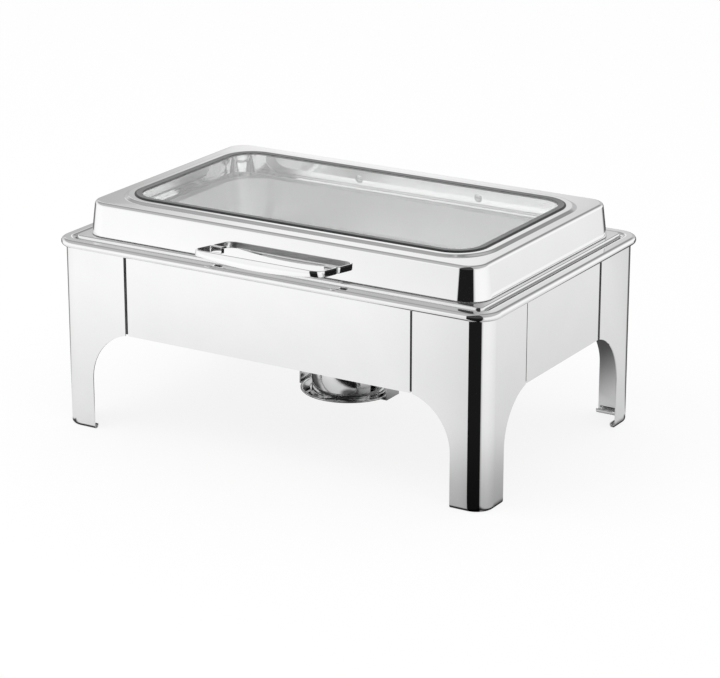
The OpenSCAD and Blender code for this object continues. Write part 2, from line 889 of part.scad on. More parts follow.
// Bar seen from the front: a straight top edge over a lower edge bowed between the bends
module bar_front() {
    intersection() {
        translate([-bow_half - bow_lead, -bar_h])
            square([2 * (bow_half + bow_lead), bar_h]);
        translate([0, bow_r - bar_h]) circle(bow_r, $fn = 256);
    }
}

module handle() {
    color(polished) difference() {
        on_front_wall() {
            translate([0, 0, -arm_h / 2]) linear_extrude(arm_h) handle_plan();
            translate([0, strip_t - handle_reach, arm_h / 2]) face_front()
                linear_extrude(strip_t) bar_front();
        }
        at_handle_lugs()
            translate([0, cut, 0]) face_front()
                cylinder(r = screw_r + pivot_gap, h = strip_t + 2 * cut);
    }
}

module handle_screws() {
    color(satin) at_handle_lugs()
        translate([0, lid_t, 0]) face_rear() bolt(screw_r, screw_l, screw_head_r, screw_head_h);
}

// Hinge

// One knuckle of the barrel, by its place along it
module knuckle(i, hole_r) {
    translate([i * knuckle_step, axis_y, axis_z]) rotate([0, 90, 0]) difference() {
        cylinder(r = knuckle_r, h = knuckle_l, center = true);
        cylinder(r = hole_r, h = knuckle_l + 2 * cut, center = true);
    }
}

// Room round the other leaf's knuckles
module knuckle_room(places) {
    for (i = places)
        translate([i * knuckle_step, axis_y, axis_z]) rotate([0, 90, 0])
            cylinder(r = knuckle_r + leaf_clear, h = knuckle_l + 2 * knuckle_gap,
                center = true);
}

// Room for the pin through a leaf's own knuckles
module pin_room(hole_r) {
    translate([0, axis_y, axis_z]) rotate([0, 90, 0])
        cylinder(r = hole_r, h = barrel_l + 2 * cut, center = true);
}

module hinge_lid_leaf() {
    color(satin) difference() {
        union() {
            on_rear_wall() translate([-leaf_l / 2, 0, leaf_low - leaf_bolt_z])
                cube([leaf_l, leaf_t, lid_leaf_h]);
            translate([-barrel_l / 2, leaf_foot_y, leaf_low])
                cube([barrel_l, axis_y - leaf_foot_y, leaf_t]);
            for (i = lid_knuckles) knuckle(i, hinge_pin_r + pivot_gap);
        }
        knuckle_room(stand_knuckles);
        pin_room(hinge_pin_r + pivot_gap);
        at_lid_bolts()
            translate([0, -cut, 0]) face_rear()
                cylinder(r = bolt_r + bolt_gap, h = leaf_t + 2 * cut);
    }
}

// Stand leaf's section: flat on the rear panel, then round the rim roll to the axis
module stand_leaf_profile() {
    out_y = axis_y - leaf_t / 2;
    step = out_y - rear_face;
    turn_z = stand_leaf_top + step * leaf_slope;
    polygon([[rear_face, stand_leaf_low], [rear_face + leaf_t, stand_leaf_low],
        [rear_face + leaf_t, stand_leaf_top - leaf_t / 2],
        [out_y + leaf_t, turn_z - leaf_t / 2], [out_y + leaf_t, axis_z],
        [out_y, axis_z], [out_y, turn_z], [rear_face, stand_leaf_top]]);
}

module hinge_stand_leaf() {
    color(satin) difference() {
        union() {
            difference() {
                along_x(leaf_l) stand_leaf_profile();
                for (s = [-1, 1])
                    translate([s * (barrel_l + leaf_l) / 2, axis_y, axis_z])
                        cube([leaf_l, 4 * knuckle_r, 2 * (knuckle_r + leaf_clear)],
                            center = true);
            }
            for (i = stand_knuckles) knuckle(i, hinge_pin_r);
        }
        knuckle_room(lid_knuckles);
        pin_room(hinge_pin_r);
        at_stand_bolts()
            translate([0, -cut, 0]) face_rear()
                cylinder(r = bolt_r + bolt_gap, h = leaf_t + 2 * cut);
    }
}

module hinge_pin() {
    color(satin) translate([0, axis_y, axis_z]) rotate([0, 90, 0]) {
        cylinder(r = hinge_pin_r, h = barrel_l, center = true);
        for (s = [0, 1]) mirror([0, 0, s])
            translate([0, 0, barrel_l / 2])
                dome((hinge_pin_r + knuckle_r) / 2, pin_head_h);
    }
}

module hinge_lid_bolts() {
    color(polished) at_lid_bolts()
        translate([0, -lid_t, 0]) face_front()
            bolt(bolt_r, lid_t + leaf_t + nut_h, head_r, head_h);
}

module hinge_lid_nuts() {
    color(satin) at_lid_bolts() translate([0, leaf_t, 0]) face_rear() hex_nut();
}

module hinge_stand_bolts() {
    color(polished) at_stand_bolts()
        translate([0, leaf_t, 0]) face_rear()
            bolt(bolt_r, leaf_t + panel_t + nut_h, head_r, head_h);
}

module hinge_stand_nuts() {
    color(satin) at_stand_bolts() translate([0, -panel_t, 0]) face_front() hex_nut();
}

leg_front_left();
leg_front_right();
leg_rear_left();
leg_rear_right();
front_panel();
rear_panel();
left_panel();
right_panel();
seam_straps();
top_rim();
water_pan();
food_pan();
burner_strap();
strap_rivets();
burner_saucer();
saucer_rivet();
fuel_cup();
cover_pivot();
fuel_cover();
lid_wall_left();
lid_wall_right();
lid_crown();
glass_gasket();
glass_panel();
handle();
handle_screws();
hinge_lid_leaf();
hinge_stand_leaf();
hinge_pin();
hinge_lid_bolts();
hinge_lid_nuts();
hinge_stand_bolts();
hinge_stand_nuts();
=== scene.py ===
"""Looks of the chafing dish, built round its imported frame."""

import json
import math

import bpy
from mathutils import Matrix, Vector

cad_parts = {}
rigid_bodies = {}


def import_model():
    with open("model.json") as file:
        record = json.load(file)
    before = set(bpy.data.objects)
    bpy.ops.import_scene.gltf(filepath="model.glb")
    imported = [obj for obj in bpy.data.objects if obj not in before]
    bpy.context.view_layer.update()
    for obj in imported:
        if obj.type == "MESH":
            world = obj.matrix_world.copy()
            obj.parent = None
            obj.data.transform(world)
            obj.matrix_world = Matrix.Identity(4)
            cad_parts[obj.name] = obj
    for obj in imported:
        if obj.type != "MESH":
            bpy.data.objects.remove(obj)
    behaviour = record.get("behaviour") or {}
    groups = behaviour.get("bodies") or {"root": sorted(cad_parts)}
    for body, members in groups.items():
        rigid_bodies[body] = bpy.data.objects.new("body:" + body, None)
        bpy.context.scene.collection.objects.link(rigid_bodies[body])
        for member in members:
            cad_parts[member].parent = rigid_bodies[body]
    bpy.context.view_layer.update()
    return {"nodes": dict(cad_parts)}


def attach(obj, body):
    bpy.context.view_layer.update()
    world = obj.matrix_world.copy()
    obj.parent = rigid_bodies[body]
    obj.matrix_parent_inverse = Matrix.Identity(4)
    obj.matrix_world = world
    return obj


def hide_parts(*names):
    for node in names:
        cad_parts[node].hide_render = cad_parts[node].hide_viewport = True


scene = bpy.context.scene
for old in list(bpy.data.objects):
    bpy.data.objects.remove(old)


# Camera

SENSOR_W = 36
LENS = 140.06
CAMERA_TURN = math.radians(31.227)
CAMERA_LIFT = math.radians(18.517)
CAMERA_REACH = 3.4876
AIM = Vector((0.016109, 0, 0.109911))


def add_camera():
    """The photo's camera: a long lens, right of the front and above the lid."""
    data = bpy.data.cameras.new("camera")
    data.sensor_fit = "HORIZONTAL"
    data.sensor_width = SENSOR_W
    data.lens = LENS
    data.clip_start = 0.1
    data.clip_end = 100
    camera = bpy.data.objects.new("camera", data)
    level = math.cos(CAMERA_LIFT)
    back = Vector((math.sin(CAMERA_TURN) * level, -math.cos(CAMERA_TURN) * level,
        math.sin(CAMERA_LIFT)))
    camera.location = AIM + CAMERA_REACH * back
    camera.rotation_euler = (-back).to_track_quat("-Z", "Y").to_euler()
    scene.collection.objects.link(camera)
    scene.camera = camera


add_camera()
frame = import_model()
nodes = frame["nodes"]


# Materials

EVEN = (1, 1, 1)
NOISE_LOW = 0.3
NOISE_HIGH = 0.7
CLOUD_SCALE = 22
WEAR_SCALE = 60
WAVE_SCALE = 7
WAVE_DEPTH = 0.001
GRAIN_DEPTH = 0.0001
MOTTLE_SCALE = 90
TOOTH_SCALE = 900
TOOTH_STRENGTH = 0.2
RUBBER_ROUGH = (0.28, 0.42)
SMEAR_SCALE = 9
SMEAR_STRETCH = (1, 2.5, 1)
SMEAR_ROUGH = (0, 0.03)
GLASS_IOR = 1.46
GLASS_GREENER = (0.975, 0.985, 0.982)
GLASS_CLEARER = (0.985, 0.992, 0.99)


def new_material(name):
    """A material with its tree and its shader."""
    material = bpy.data.materials.new(name)
    material.use_nodes = True
    tree = material.node_tree
    return material, tree, tree.nodes["Principled BSDF"]


def noise(tree, stretch, scale, detail=3):
    """Noise in the part's own space, stretched along its axes."""
    coords = tree.nodes.new("ShaderNodeTexCoord")
    place = tree.nodes.new("ShaderNodeMapping")
    place.inputs["Scale"].default_value = stretch
    tree.links.new(coords.outputs["Object"], place.inputs["Vector"])
    made = tree.nodes.new("ShaderNodeTexNoise")
    made.inputs["Scale"].default_value = scale
    made.inputs["Detail"].default_value = detail
    tree.links.new(place.outputs["Vector"], made.inputs["Vector"])
    return made.outputs["Fac"]


def spread(tree, value, low, high):
    """Noise brought to the range from low to high."""
    made = tree.nodes.new("ShaderNodeMapRange")
    made.inputs["From Min"].default_value = NOISE_LOW
    made.inputs["From Max"].default_value = NOISE_HIGH
    made.inputs["To Min"].default_value = low
    made.inputs["To Max"].default_value = high
    tree.links.new(value, made.inputs["Value"])
    return made.outputs["Result"]


def tint(tree, value, dark, light):
    """Noise turned into a colour between two."""
    made = tree.nodes.new("ShaderNodeValToRGB")
    made.color_ramp.elements[0].position = NOISE_LOW
    made.color_ramp.elements[0].color = (*dark, 1)
    made.color_ramp.elements[1].position = NOISE_HIGH
    made.color_ramp.elements[1].color = (*light, 1)
    tree.links.new(value, made.inputs["Fac"])
    return made.outputs["Color"]


def bump(tree, value, depth, strength, before=None):
    """Height from noise, in metres, on top of another bump."""
    made = tree.nodes.new("ShaderNodeBump")
    made.inputs["Distance"].default_value = depth
    made.inputs["Strength"].default_value = strength
    tree.links.new(value, made.inputs["Height"])
    if before is not None:
        tree.links.new(before, made.inputs["Normal"])
    return made.outputs["Normal"]


def steel(name, dark, light, rough, grain, grain_strength, wave_strength):
    """Stainless steel: cloudy polish, grain along one axis, and the slight waves of a pressed sheet."""
    material, tree, shader = new_material(name)
    shader.inputs["Metallic"].default_value = 1
    cloud = noise(tree, EVEN, CLOUD_SCALE)
    tree.links.new(tint(tree, cloud, dark, light), shader.inputs["Base Color"])
    wear = noise(tree, EVEN, WEAR_SCALE, detail=5)
    tree.links.new(spread(tree, wear, *rough), shader.inputs["Roughness"])
    lines = noise(tree, grain, 1, detail=2)
    waves = noise(tree, EVEN, WAVE_SCALE, detail=1)
    wavy = bump(tree, waves, WAVE_DEPTH, wave_strength)
    tree.links.new(bump(tree, lines, GRAIN_DEPTH, grain_strength, wavy), shader.inputs["Normal"])
    return material


def rubber(name, dark, light):
    """Silicone or rubber with a fine tooth."""
    material, tree, shader = new_material(name)
    mottle = noise(tree, EVEN, MOTTLE_SCALE)
    tree.links.new(tint(tree, mottle, dark, light), shader.inputs["Base Color"])
    tree.links.new(spread(tree, mottle, *RUBBER_ROUGH), shader.inputs["Roughness"])
    tooth = noise(tree, EVEN, TOOTH_SCALE)
    tree.links.new(bump(tree, tooth, GRAIN_DEPTH, TOOTH_STRENGTH), shader.inputs["Normal"])
    return material


def clear_glass(name):
    """Tempered glass, with a trace of green and faint smears."""
    material, tree, shader = new_material(name)
    shader.inputs["Transmission Weight"].default_value = 1
    shader.inputs["IOR"].default_value = GLASS_IOR
    smear = noise(tree, SMEAR_STRETCH, SMEAR_SCALE, detail=4)
    colour = tint(tree, smear, GLASS_GREENER, GLASS_CLEARER)
    tree.links.new(colour, shader.inputs["Base Color"])
    tree.links.new(spread(tree, smear, *SMEAR_ROUGH), shader.inputs["Roughness"])
    return material


MIRROR = steel("polished_steel", (0.935, 0.937, 0.937), (0.955, 0.955, 0.955),
    rough=(0.025, 0.05), grain=(900, 60, 60), grain_strength=0.01, wave_strength=0.004)
SATIN = steel("pan_steel", (0.93, 0.932, 0.932), (0.955, 0.955, 0.953),
    rough=(0.3, 0.36), grain=(40, 700, 700), grain_strength=0.03, wave_strength=0.01)
BRIGHT = steel("pan_edge_steel", (0.86, 0.862, 0.862), (0.9, 0.9, 0.9),
    rough=(0.06, 0.11), grain=(700, 60, 60), grain_strength=0.02, wave_strength=0.006)
BURNER = steel("burner_steel", (0.7, 0.703, 0.703), (0.77, 0.77, 0.77),
    rough=(0.05, 0.12), grain=(60, 60, 900), grain_strength=0.05, wave_strength=0.02)
FITTING = steel("fitting_steel", (0.72, 0.72, 0.725), (0.8, 0.8, 0.8),
    rough=(0.15, 0.28), grain=(700, 50, 50), grain_strength=0.1, wave_strength=0.01)
# Painted shade: the seam straps behind the gaps between legs and panels are near black, so the gaps
# read as shadow.
SEAM_SHADE = steel("strap_steel", (0.1, 0.1, 0.102), (0.14, 0.14, 0.14),
    rough=(0.35, 0.5), grain=(50, 50, 600), grain_strength=0.15, wave_strength=0.02)
# Painted shade: a darker steel for faces in gaps and inside the handle's loop, standing in for the
# shadow there.
PAINTED_SHADE = steel("painted_shade_steel", (0.48, 0.48, 0.482), (0.54, 0.54, 0.54),
    rough=(0.3, 0.45), grain=(50, 50, 600), grain_strength=0.1, wave_strength=0.02)
RUBBER = rubber("gasket_rubber", (0.1, 0.102, 0.105), (0.14, 0.142, 0.145))
# Painted shade: near-black rubber for the outer band of the seal's bead, for the shadow along its outer
# edge.
SEAL_EDGE_SHADE = rubber("gasket_edge_shade", (0.02, 0.021, 0.022), (0.03, 0.031, 0.032))
GLASS = clear_glass("window_glass")

FINISH = {
    "polished_steel": (MIRROR, ("leg_front_left", "leg_front_right", "leg_rear_left",
        "leg_rear_right", "front_panel", "rear_panel", "left_panel", "right_panel", "top_rim",
        "lid_wall_left", "lid_wall_right", "lid_crown", "handle")),
    "pan_steel": (SATIN, ("water_pan", "food_pan")),
    "burner_steel": (BURNER, ("burner_strap", "strap_rivets", "burner_saucer", "saucer_rivet",
        "fuel_cup", "cover_pivot", "fuel_cover")),
    "fitting_steel": (FITTING, ("handle_screws", "hinge_lid_leaf", "hinge_stand_leaf",
        "hinge_pin", "hinge_lid_bolts", "hinge_lid_nuts", "hinge_stand_bolts",
        "hinge_stand_nuts")),
    "strap_steel": (SEAM_SHADE, ("seam_straps",)),
    "gasket_rubber": (RUBBER, ("glass_gasket",)),
    "glass": (GLASS, ("glass_panel",)),
}
for slot_name, (material, members) in FINISH.items():
    for member in members:
        part = nodes[member]
        part.data.materials.clear()
        part.data.materials.append(material)


# Shapes, in millimetres up to the burner. A ring is a rounded rectangle, (length, width, corner
# radius), and takes its height as a fourth value.

MM = 0.001
CORNER_STEPS = 14
CORNER_LEAD = 1.5
EDGE_LEAD = 0.4
LEAST_RADIUS = 0.3
SHARP = math.radians(35)
SHEET = 1


def corner_points(l, w, r):
    """A rounded rectangle in millimetres, with points close to the ends of its straight sides."""
    points = []
    for sx, sy, start in ((1, -1, -90), (1, 1, 0), (-1, 1, 90), (-1, -1, 180)):
        cx = sx * (l / 2 - r)
        cy = sy * (w / 2 - r)
        first = math.radians(start)
        last = math.radians(start + 90)
        points.append((cx + r * math.cos(first) + CORNER_LEAD * math.sin(first),
            cy + r * math.sin(first) - CORNER_LEAD * math.cos(first)))
        for i in range(CORNER_STEPS + 1):
            at = first + (last - first) * i / CORNER_STEPS
            points.append((cx + r * math.cos(at), cy + r * math.sin(at)))
        points.append((cx + r * math.cos(last) - CORNER_LEAD * math.sin(last),
            cy + r * math.sin(last) + CORNER_LEAD * math.cos(last)))
    return points


def supported(rings, closed):
    """Adds rings close to both ends of each long step: flats then stay flat when shaded smooth."""
    count = len(rings)
    made = []
    for i in range(count if closed else count - 1):
        a = rings[i]
        b = rings[(i + 1) % count]
        made.append(a)
        span = math.hypot(max(abs(a[0] - b[0]), abs(a[1] - b[1])) / 2, a[3] - b[3])
        if span > 4 * EDGE_LEAD:
            near = EDGE_LEAD / span
            made.append(tuple(u + (v - u) * near for u, v in zip(a, b)))
            made.append(tuple(v + (u - v) * near for u, v in zip(a, b)))
    if not closed:
        made.append(rings[-1])
    return made


def new_piece(name, points, faces, material, body, slot, *stands_for, others=()):
    """A mesh piece in millimetres that rides on a body and stands for CAD nodes.

    Each of the other materials comes with a test of a face's middle and direction, and takes the
    faces that pass.
    """
    mesh = bpy.data.meshes.new(name)
    mesh.from_pydata([(x * MM, y * MM, z * MM) for x, y, z in points], [], faces)
    mesh.validate()
    for polygon in mesh.polygons:
        polygon.use_smooth = True
    mesh.set_sharp_from_angle(angle=SHARP)
    mesh.materials.append(material)
    for index, (other, belongs) in enumerate(others, 1):
        mesh.materials.append(other)
        for polygon in mesh.polygons:
            if belongs(polygon.center / MM, polygon.normal):
                polygon.material_index = index
    piece = bpy.data.objects.new(name, mesh)
    scene.collection.objects.link(piece)
    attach(piece, body)
    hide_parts(*stands_for)


def ring_mesh(rings, closed=True, start_cap=False, end_cap=False):
    """Points and faces of a skin over rounded rectangles, each (length, width, radius, height)."""
    rings = supported(rings, closed)
    points = []
    for l, w, r, z in rings:
        points += [(x, y, z) for x, y in corner_points(l, w, r)]
    return skin(points, len(rings), closed, start_cap, end_cap)


def skin(points, rows, closed=True, start_cap=False, end_cap=False):
    """Faces over rows of points that each run round and close on themselves."""
    n = len(points) // rows
    faces = []
    for k in range(rows if closed else rows - 1):
        a = k * n
        b = (k + 1) % rows * n
        faces += [(a + i, a + (i + 1) % n, b + (i + 1) % n, b + i) for i in range(n)]
    if start_cap:
        faces.append(tuple(range(n - 1, -1, -1)))
    if end_cap:
        faces.append(tuple(range((rows - 1) * n, rows * n)))
    return points, faces


def arc(start, end, steps, level_end=True):
    """Steps of a quarter ellipse between two rings, level at its end or else at its start."""
    made = []
    for i in range(steps + 1):
        at = math.pi / 2 * i / steps
        flat = 1 - math.cos(at) if level_end else math.sin(at)
        rise = math.sin(at) if level_end else 1 - math.cos(at)
        made.append(tuple(u + (v - u) * flat for u, v in zip(start[:3], end[:3]))
            + (start[3] + (end[3] - start[3]) * rise,))
    return made


def grown(ring, by, z):
    """A ring moved outwards all round, at another height."""
    return (ring[0] + 2 * by, ring[1] + 2 * by, max(ring[2] + by, LEAST_RADIUS), z)


# Lid

WALL = (555.6, 341.6, 28)
CURB = (509, 286, 50)
SEAL = (493, 270, 42)
WINDOW = (485, 262, 38)
LID_FOOT = 244.4
# Height of the painted shade along the bottom of the lid's foot.
SHADED_FOOT = 0.9
HEM_TOP = 248.4
WALL_MIDDLE = 262.0
LID_TOP = 286.0
CURB_TOP = 288.5
SHOULDER = 4.6
LEAN = math.radians(7)
LEAN_MIDDLE = 255.4


def leaning(by, z):
    """The lid's wall at a height: it leans inwards, and its fittings sit where it keeps its size."""
    return grown(WALL, by + math.tan(LEAN) * (LEAN_MIDDLE - z), z)


def add_lid():
    """Pressed lid: leaning wall, folded hem inside, tight shoulder, sloped curb round the window."""
    top_in = SHOULDER + math.tan(LEAN) * (LID_TOP - SHOULDER - LEAN_MIDDLE)
    outside = [leaning(-0.4, LID_FOOT), leaning(-0.1, LID_FOOT + 0.2), leaning(0, LID_FOOT + 0.6),
        leaning(0, WALL_MIDDLE)]
    outside += arc(leaning(0, LID_TOP - SHOULDER), grown(WALL, -top_in, LID_TOP), 8)[1:]
    outside += [grown(CURB, by, z) for by, z in ((4.6, LID_TOP + 0.15), (4.0, LID_TOP + 0.3),
        (1.0, CURB_TOP - 0.4), (0.3, CURB_TOP - 0.1), (-0.6, CURB_TOP))]
    outside += [grown(WINDOW, 0, CURB_TOP)]
    under_top = LID_TOP - SHEET
    inside = [grown(WINDOW, 0, CURB_TOP - SHEET), grown(CURB, -SHEET, CURB_TOP - SHEET),
        grown(CURB, 3.2, under_top + 0.2)]
    inside += arc(leaning(-SHEET, under_top - SHOULDER), grown(WALL, -top_in - SHEET, under_top),
        6)[::-1]
    inside += [leaning(-SHEET, HEM_TOP), leaning(-2 * SHEET, HEM_TOP), leaning(-2 * SHEET, LID_FOOT)]
    points, faces = ring_mesh(outside + inside)
    # Painted shade: the faces at the bottom of the lid's foot take the darker steel, for the shadow of
    # the gap over the flange.
    new_piece("lid_pressing", points, faces, MIRROR, "lid", "polished_steel",
        "lid_wall_left", "lid_wall_right", "lid_crown",
        others=[(PAINTED_SHADE, lambda middle, facing: middle.z < LID_FOOT + SHADED_FOOT)])


# Gasket

SEAL_TOP = 290.0
SEAL_FOOT = 283.75
SEAL_EASE = 0.65
GLASS_TOP = 289.25
GLASS_FOOT = 285.25
LIP_W = 10
GLASS_IN = 6
SHEET_IN = 4
# Width of the painted shade along the outer edge of the seal.
EDGE_SHADE_W = 2.4


def from_edge(ring, x, y):
    """How far a point lies inside the edge of a rounded rectangle."""
    out_x = abs(x) - ring[0] / 2 + ring[2]
    out_y = abs(y) - ring[1] / 2 + ring[2]
    return ring[2] - math.hypot(max(out_x, 0), max(out_y, 0)) - min(max(out_x, out_y), 0)


def add_gasket():
    """Moulded seal: a bead over the metal whose outer band takes painted shade, and a thin lip over the
    glass.
    """
    outline = arc(grown(SEAL, 0, CURB_TOP + 0.1), grown(SEAL, -2.6, SEAL_TOP), 6)
    outline += [grown(SEAL, -inset, z) for inset, z in (
        (3.4, SEAL_TOP - 0.08), (4.0, SEAL_TOP - 0.18), (LIP_W - 0.6, SEAL_TOP - 0.3),
        (LIP_W - 0.1, SEAL_TOP - 0.45), (LIP_W, GLASS_TOP), (GLASS_IN, GLASS_TOP),
        (GLASS_IN, GLASS_FOOT), (LIP_W, GLASS_FOOT), (LIP_W, SEAL_FOOT + SEAL_EASE),
        (LIP_W - 0.6, SEAL_FOOT), (0.6, SEAL_FOOT), (0, SEAL_FOOT + SEAL_EASE),
        (0, CURB_TOP - SHEET), (SHEET_IN, CURB_TOP - SHEET), (SHEET_IN, CURB_TOP), (0, CURB_TOP))]
    points, faces = ring_mesh(outline)
    new_piece("window_seal", points, faces, RUBBER, "lid", "gasket_rubber", "glass_gasket",
        others=[(SEAL_EDGE_SHADE, lambda middle, facing: from_edge(SEAL, middle.x, middle.y) < EDGE_SHADE_W)])


# Handle

# The handle is laid out level and then tipped. HANDLE_WALL is where its lugs meet the lid's wall.
HANDLE_HALF = 90
HANDLE_TOP = 259.4
HANDLE_WALL = -170.8
HANDLE_FRONT = -212.8
STRIP = 3
ARM_H = 8
BOW = 5
BAR_SPANS = 18
LUG_BEND = 5
LUG_L = 13
FRONT_BEND = 14
EASE = 0.9
EASE_STEPS = 4
# Depth below the handle's top down to which the bar's inner faces take painted shade. The strip's inner
# face has a point there.
SHADE_LINE_H = 6.6


def bend(cx, cy, r, start, steps):
    """Points of a quarter turn in plan, counted anticlockwise."""
    made = []
    for i in range(steps + 1):
        at = math.radians(start + 90 * i / steps)
        made.append((cx + r * math.cos(at), cy + r * math.sin(at)))
    return made


def strip_edge(inset):
    """Left half of the handle's plan on one face of the strip, from its lug to the bar's middle."""
    side = -HANDLE_HALF + inset
    lug_turn = -HANDLE_HALF + LUG_BEND
    front_turn = -HANDLE_HALF + FRONT_BEND
    lug_end = lug_turn + LUG_L
    points = [(lug_end, HANDLE_WALL - inset), (lug_end - 1, HANDLE_WALL - inset)]
    points += bend(lug_turn, HANDLE_WALL - LUG_BEND, LUG_BEND - inset, 90, 8)
    points += [(side, HANDLE_WALL - LUG_BEND - 1), (side, HANDLE_FRONT + FRONT_BEND + 1)]
    points += bend(front_turn, HANDLE_FRONT + FRONT_BEND, FRONT_BEND - inset, 180, 14)
    points += [(front_turn * (1 - i / BAR_SPANS), HANDLE_FRONT + inset)
        for i in range(1, BAR_SPANS + 1)]
    return points


def square_to_wall(point):
    """Tips a point of the level handle up, square to the lid's wall, about its lugs' middle."""
    x, y, z = point
    out, up = y - HANDLE_WALL, z - LEAN_MIDDLE
    return (x, HANDLE_WALL + out * math.cos(LEAN) + up * math.sin(LEAN),
        LEAN_MIDDLE + up * math.cos(LEAN) - out * math.sin(LEAN))


def inside_loop(middle, facing):
    """Picks the upper faces of the handle's bar that look back into the loop, which take painted shade.
    """
    out = HANDLE_WALL - middle.y
    low = HANDLE_TOP - SHADE_LINE_H + out * math.tan(LEAN)
    return out > 2 * STRIP and middle.z > low and facing.y > 0.6


def add_handle():
    """A strip bent to a loop, with eased edges: lugs on the lid's wall, arms and a bowed bar."""
    outer = strip_edge(0)
    inner = strip_edge(STRIP)
    outer += [(-x, y) for x, y in outer[-2::-1]]
    inner += [(-x, y) for x, y in inner[-2::-1]]
    sections = []
    for (xo, yo), (xi, yi) in zip(outer, inner):
        depth = math.hypot(xi - xo, yi - yo)
        reach = min(abs(xo) / (HANDLE_HALF - FRONT_BEND), 1)
        in_bar = yo < HANDLE_FRONT + STRIP
        low = HANDLE_TOP - ARM_H - (BOW * (1 - reach * reach) if in_bar else 0)
        near, far = EASE, depth - EASE
        under, over = low + EASE, HANDLE_TOP - EASE
        for cu, cz, start in ((far, over, 0), (near, over, 90), (near, under, 180), (far, under, 270)):
            for k in range(EASE_STEPS + 1):
                at = math.radians(start + 90 * k / EASE_STEPS)
                u = (cu + EASE * math.cos(at)) / depth
                sections.append((xo + (xi - xo) * u, yo + (yi - yo) * u, cz + EASE * math.sin(at)))
        sections.append((xi, yi, HANDLE_TOP - SHADE_LINE_H))
    tipped = [square_to_wall(point) for point in sections]
    points, faces = skin(tipped, len(outer), False, True, True)
    # Painted shade on the bar's faces inside the loop.
    new_piece("lid_handle", points, faces, MIRROR, "lid", "polished_steel", "handle",
        others=[(PAINTED_SHADE, inside_loop)])


# Water pan

FLANGE = (573, 359, 8)
BASIN = (518, 313, 53.5)
FLANGE_FOOT = 237.0
FLANGE_TOP = 244.2
# Height of the painted shade at the foot of the flange's edge.
SHADED_FLANGE = 2.3
NOSE_IN = 3.4
FLOOR_BEND = 163.2
FLOOR_R = 12
FLOOR_STEPS = 7


def floor_bend(by, r):
    """The basin's wall bending into its floor, on a face that lies a little outside the basin."""
    made = []
    for i in range(FLOOR_STEPS + 1):
        at = math.pi / 2 * i / FLOOR_STEPS
        made.append(grown(BASIN, by - r * (1 - math.cos(at)), FLOOR_BEND - r * math.sin(at)))
    return made


def add_water_pan():
    """Water pan: a flange with a steep bevelled edge and a deep basin with soft corners."""
    outline = [grown(FLANGE, by, z) for by, z in ((-0.02, FLANGE_FOOT), (0, FLANGE_FOOT + 0.3),
        (0, FLANGE_FOOT + 2), (-1.1, FLANGE_TOP - 1), (-1.4, FLANGE_TOP - 0.45),
        (-1.85, FLANGE_TOP - 0.13), (-2.5, FLANGE_TOP))]
    outline += arc(grown(BASIN, 2, FLANGE_TOP), grown(BASIN, 0, FLANGE_TOP - 2), 5, level_end=False)
    outline += floor_bend(0, FLOOR_R)
    under_flange = FLANGE_TOP - SHEET
    nose = grown(FLANGE, -NOSE_IN, under_flange)
    skirt = floor_bend(SHEET, FLOOR_R + SHEET)[::-1]
    skirt += [grown(BASIN, SHEET, FLANGE_TOP - 2.7), grown(BASIN, 2.4, under_flange), nose]
    skirt += arc(grown(FLANGE, -SHEET, FLANGE_TOP - 3.8), nose, 8)[::-1]
    skirt += [grown(FLANGE, -SHEET, FLANGE_FOOT), outline[0]]
    inner_points, inner_faces = ring_mesh(outline, False, False, True)
    outer_points, outer_faces = ring_mesh(skirt, False, True, False)
    shift = len(inner_points)
    faces = inner_faces + [tuple(i + shift for i in face) for face in outer_faces]
    # Painted shade: a band at the foot of the flange's edge takes the darker steel, for the shadow of
    # the groove between the flange and the rim.
    above = FLANGE_FOOT - 1
    new_piece("water_basin", inner_points + outer_points, faces, SATIN, "stand", "pan_steel",
        "water_pan", others=[(BRIGHT, lambda middle, facing: middle.z > above),
            (PAINTED_SHADE, lambda middle, facing: above < middle.z < FLANGE_FOOT + SHADED_FLANGE)])


# Burner

SAUCER_FOOT = 43.5
SAUCER_R = 61
SAUCER_ROLL = 1.25
SAUCER_BORE = 2.6
RIDGE_H = 0.25
CUP_FOOT = 44.5
CUP_TOP = 99.5
CUP_R = 46.5
CUP_ROLL = 1.0
CUP_FLOOR = 4
GROOVE_IN = 0.35
EAR_HALF = 7
EAR_OUT = 52.5
EAR_H = 2
TURN_STEPS = 120
ROLL_STEPS = 8


def turned(profile):
    """Points and faces of a closed profile of radius and height, turned about the upright axis."""
    points = []
    for r, z in profile:
        for i in range(TURN_STEPS):
            at = 2 * math.pi * i / TURN_STEPS
            points.append((r * math.cos(at), r * math.sin(at), z))
    return skin(points, len(profile))


def roll(r, z, size, start, sweep):
    """Points of a rolled edge in a profile."""
    made = []
    for i in range(ROLL_STEPS + 1):
        at = math.radians(start + sweep * i / ROLL_STEPS)
        made.append((r + size * math.cos(at), z + size * math.sin(at)))
    return made


def add_saucer():
    """Pressed plate with a rolled edge and a low ridge round the cup's foot."""
    top = SAUCER_FOOT + SHEET
    middle = SAUCER_R - SAUCER_ROLL
    profile = [(SAUCER_BORE, SAUCER_FOOT), (SAUCER_BORE, top), (CUP_R + 1.4, top),
        (CUP_R + 2.2, top + RIDGE_H), (CUP_R + 3.0, top + RIDGE_H), (CUP_R + 3.8, top),
        (middle - SAUCER_ROLL - 0.3, top)]
    profile += roll(middle, SAUCER_FOOT + SAUCER_ROLL, SAUCER_ROLL, 165, -255)
    profile += [(middle - 0.6, SAUCER_FOOT)]
    points, faces = turned(profile)
    new_piece("burner_plate", points, faces, BURNER, "stand", "burner_steel", "burner_saucer")


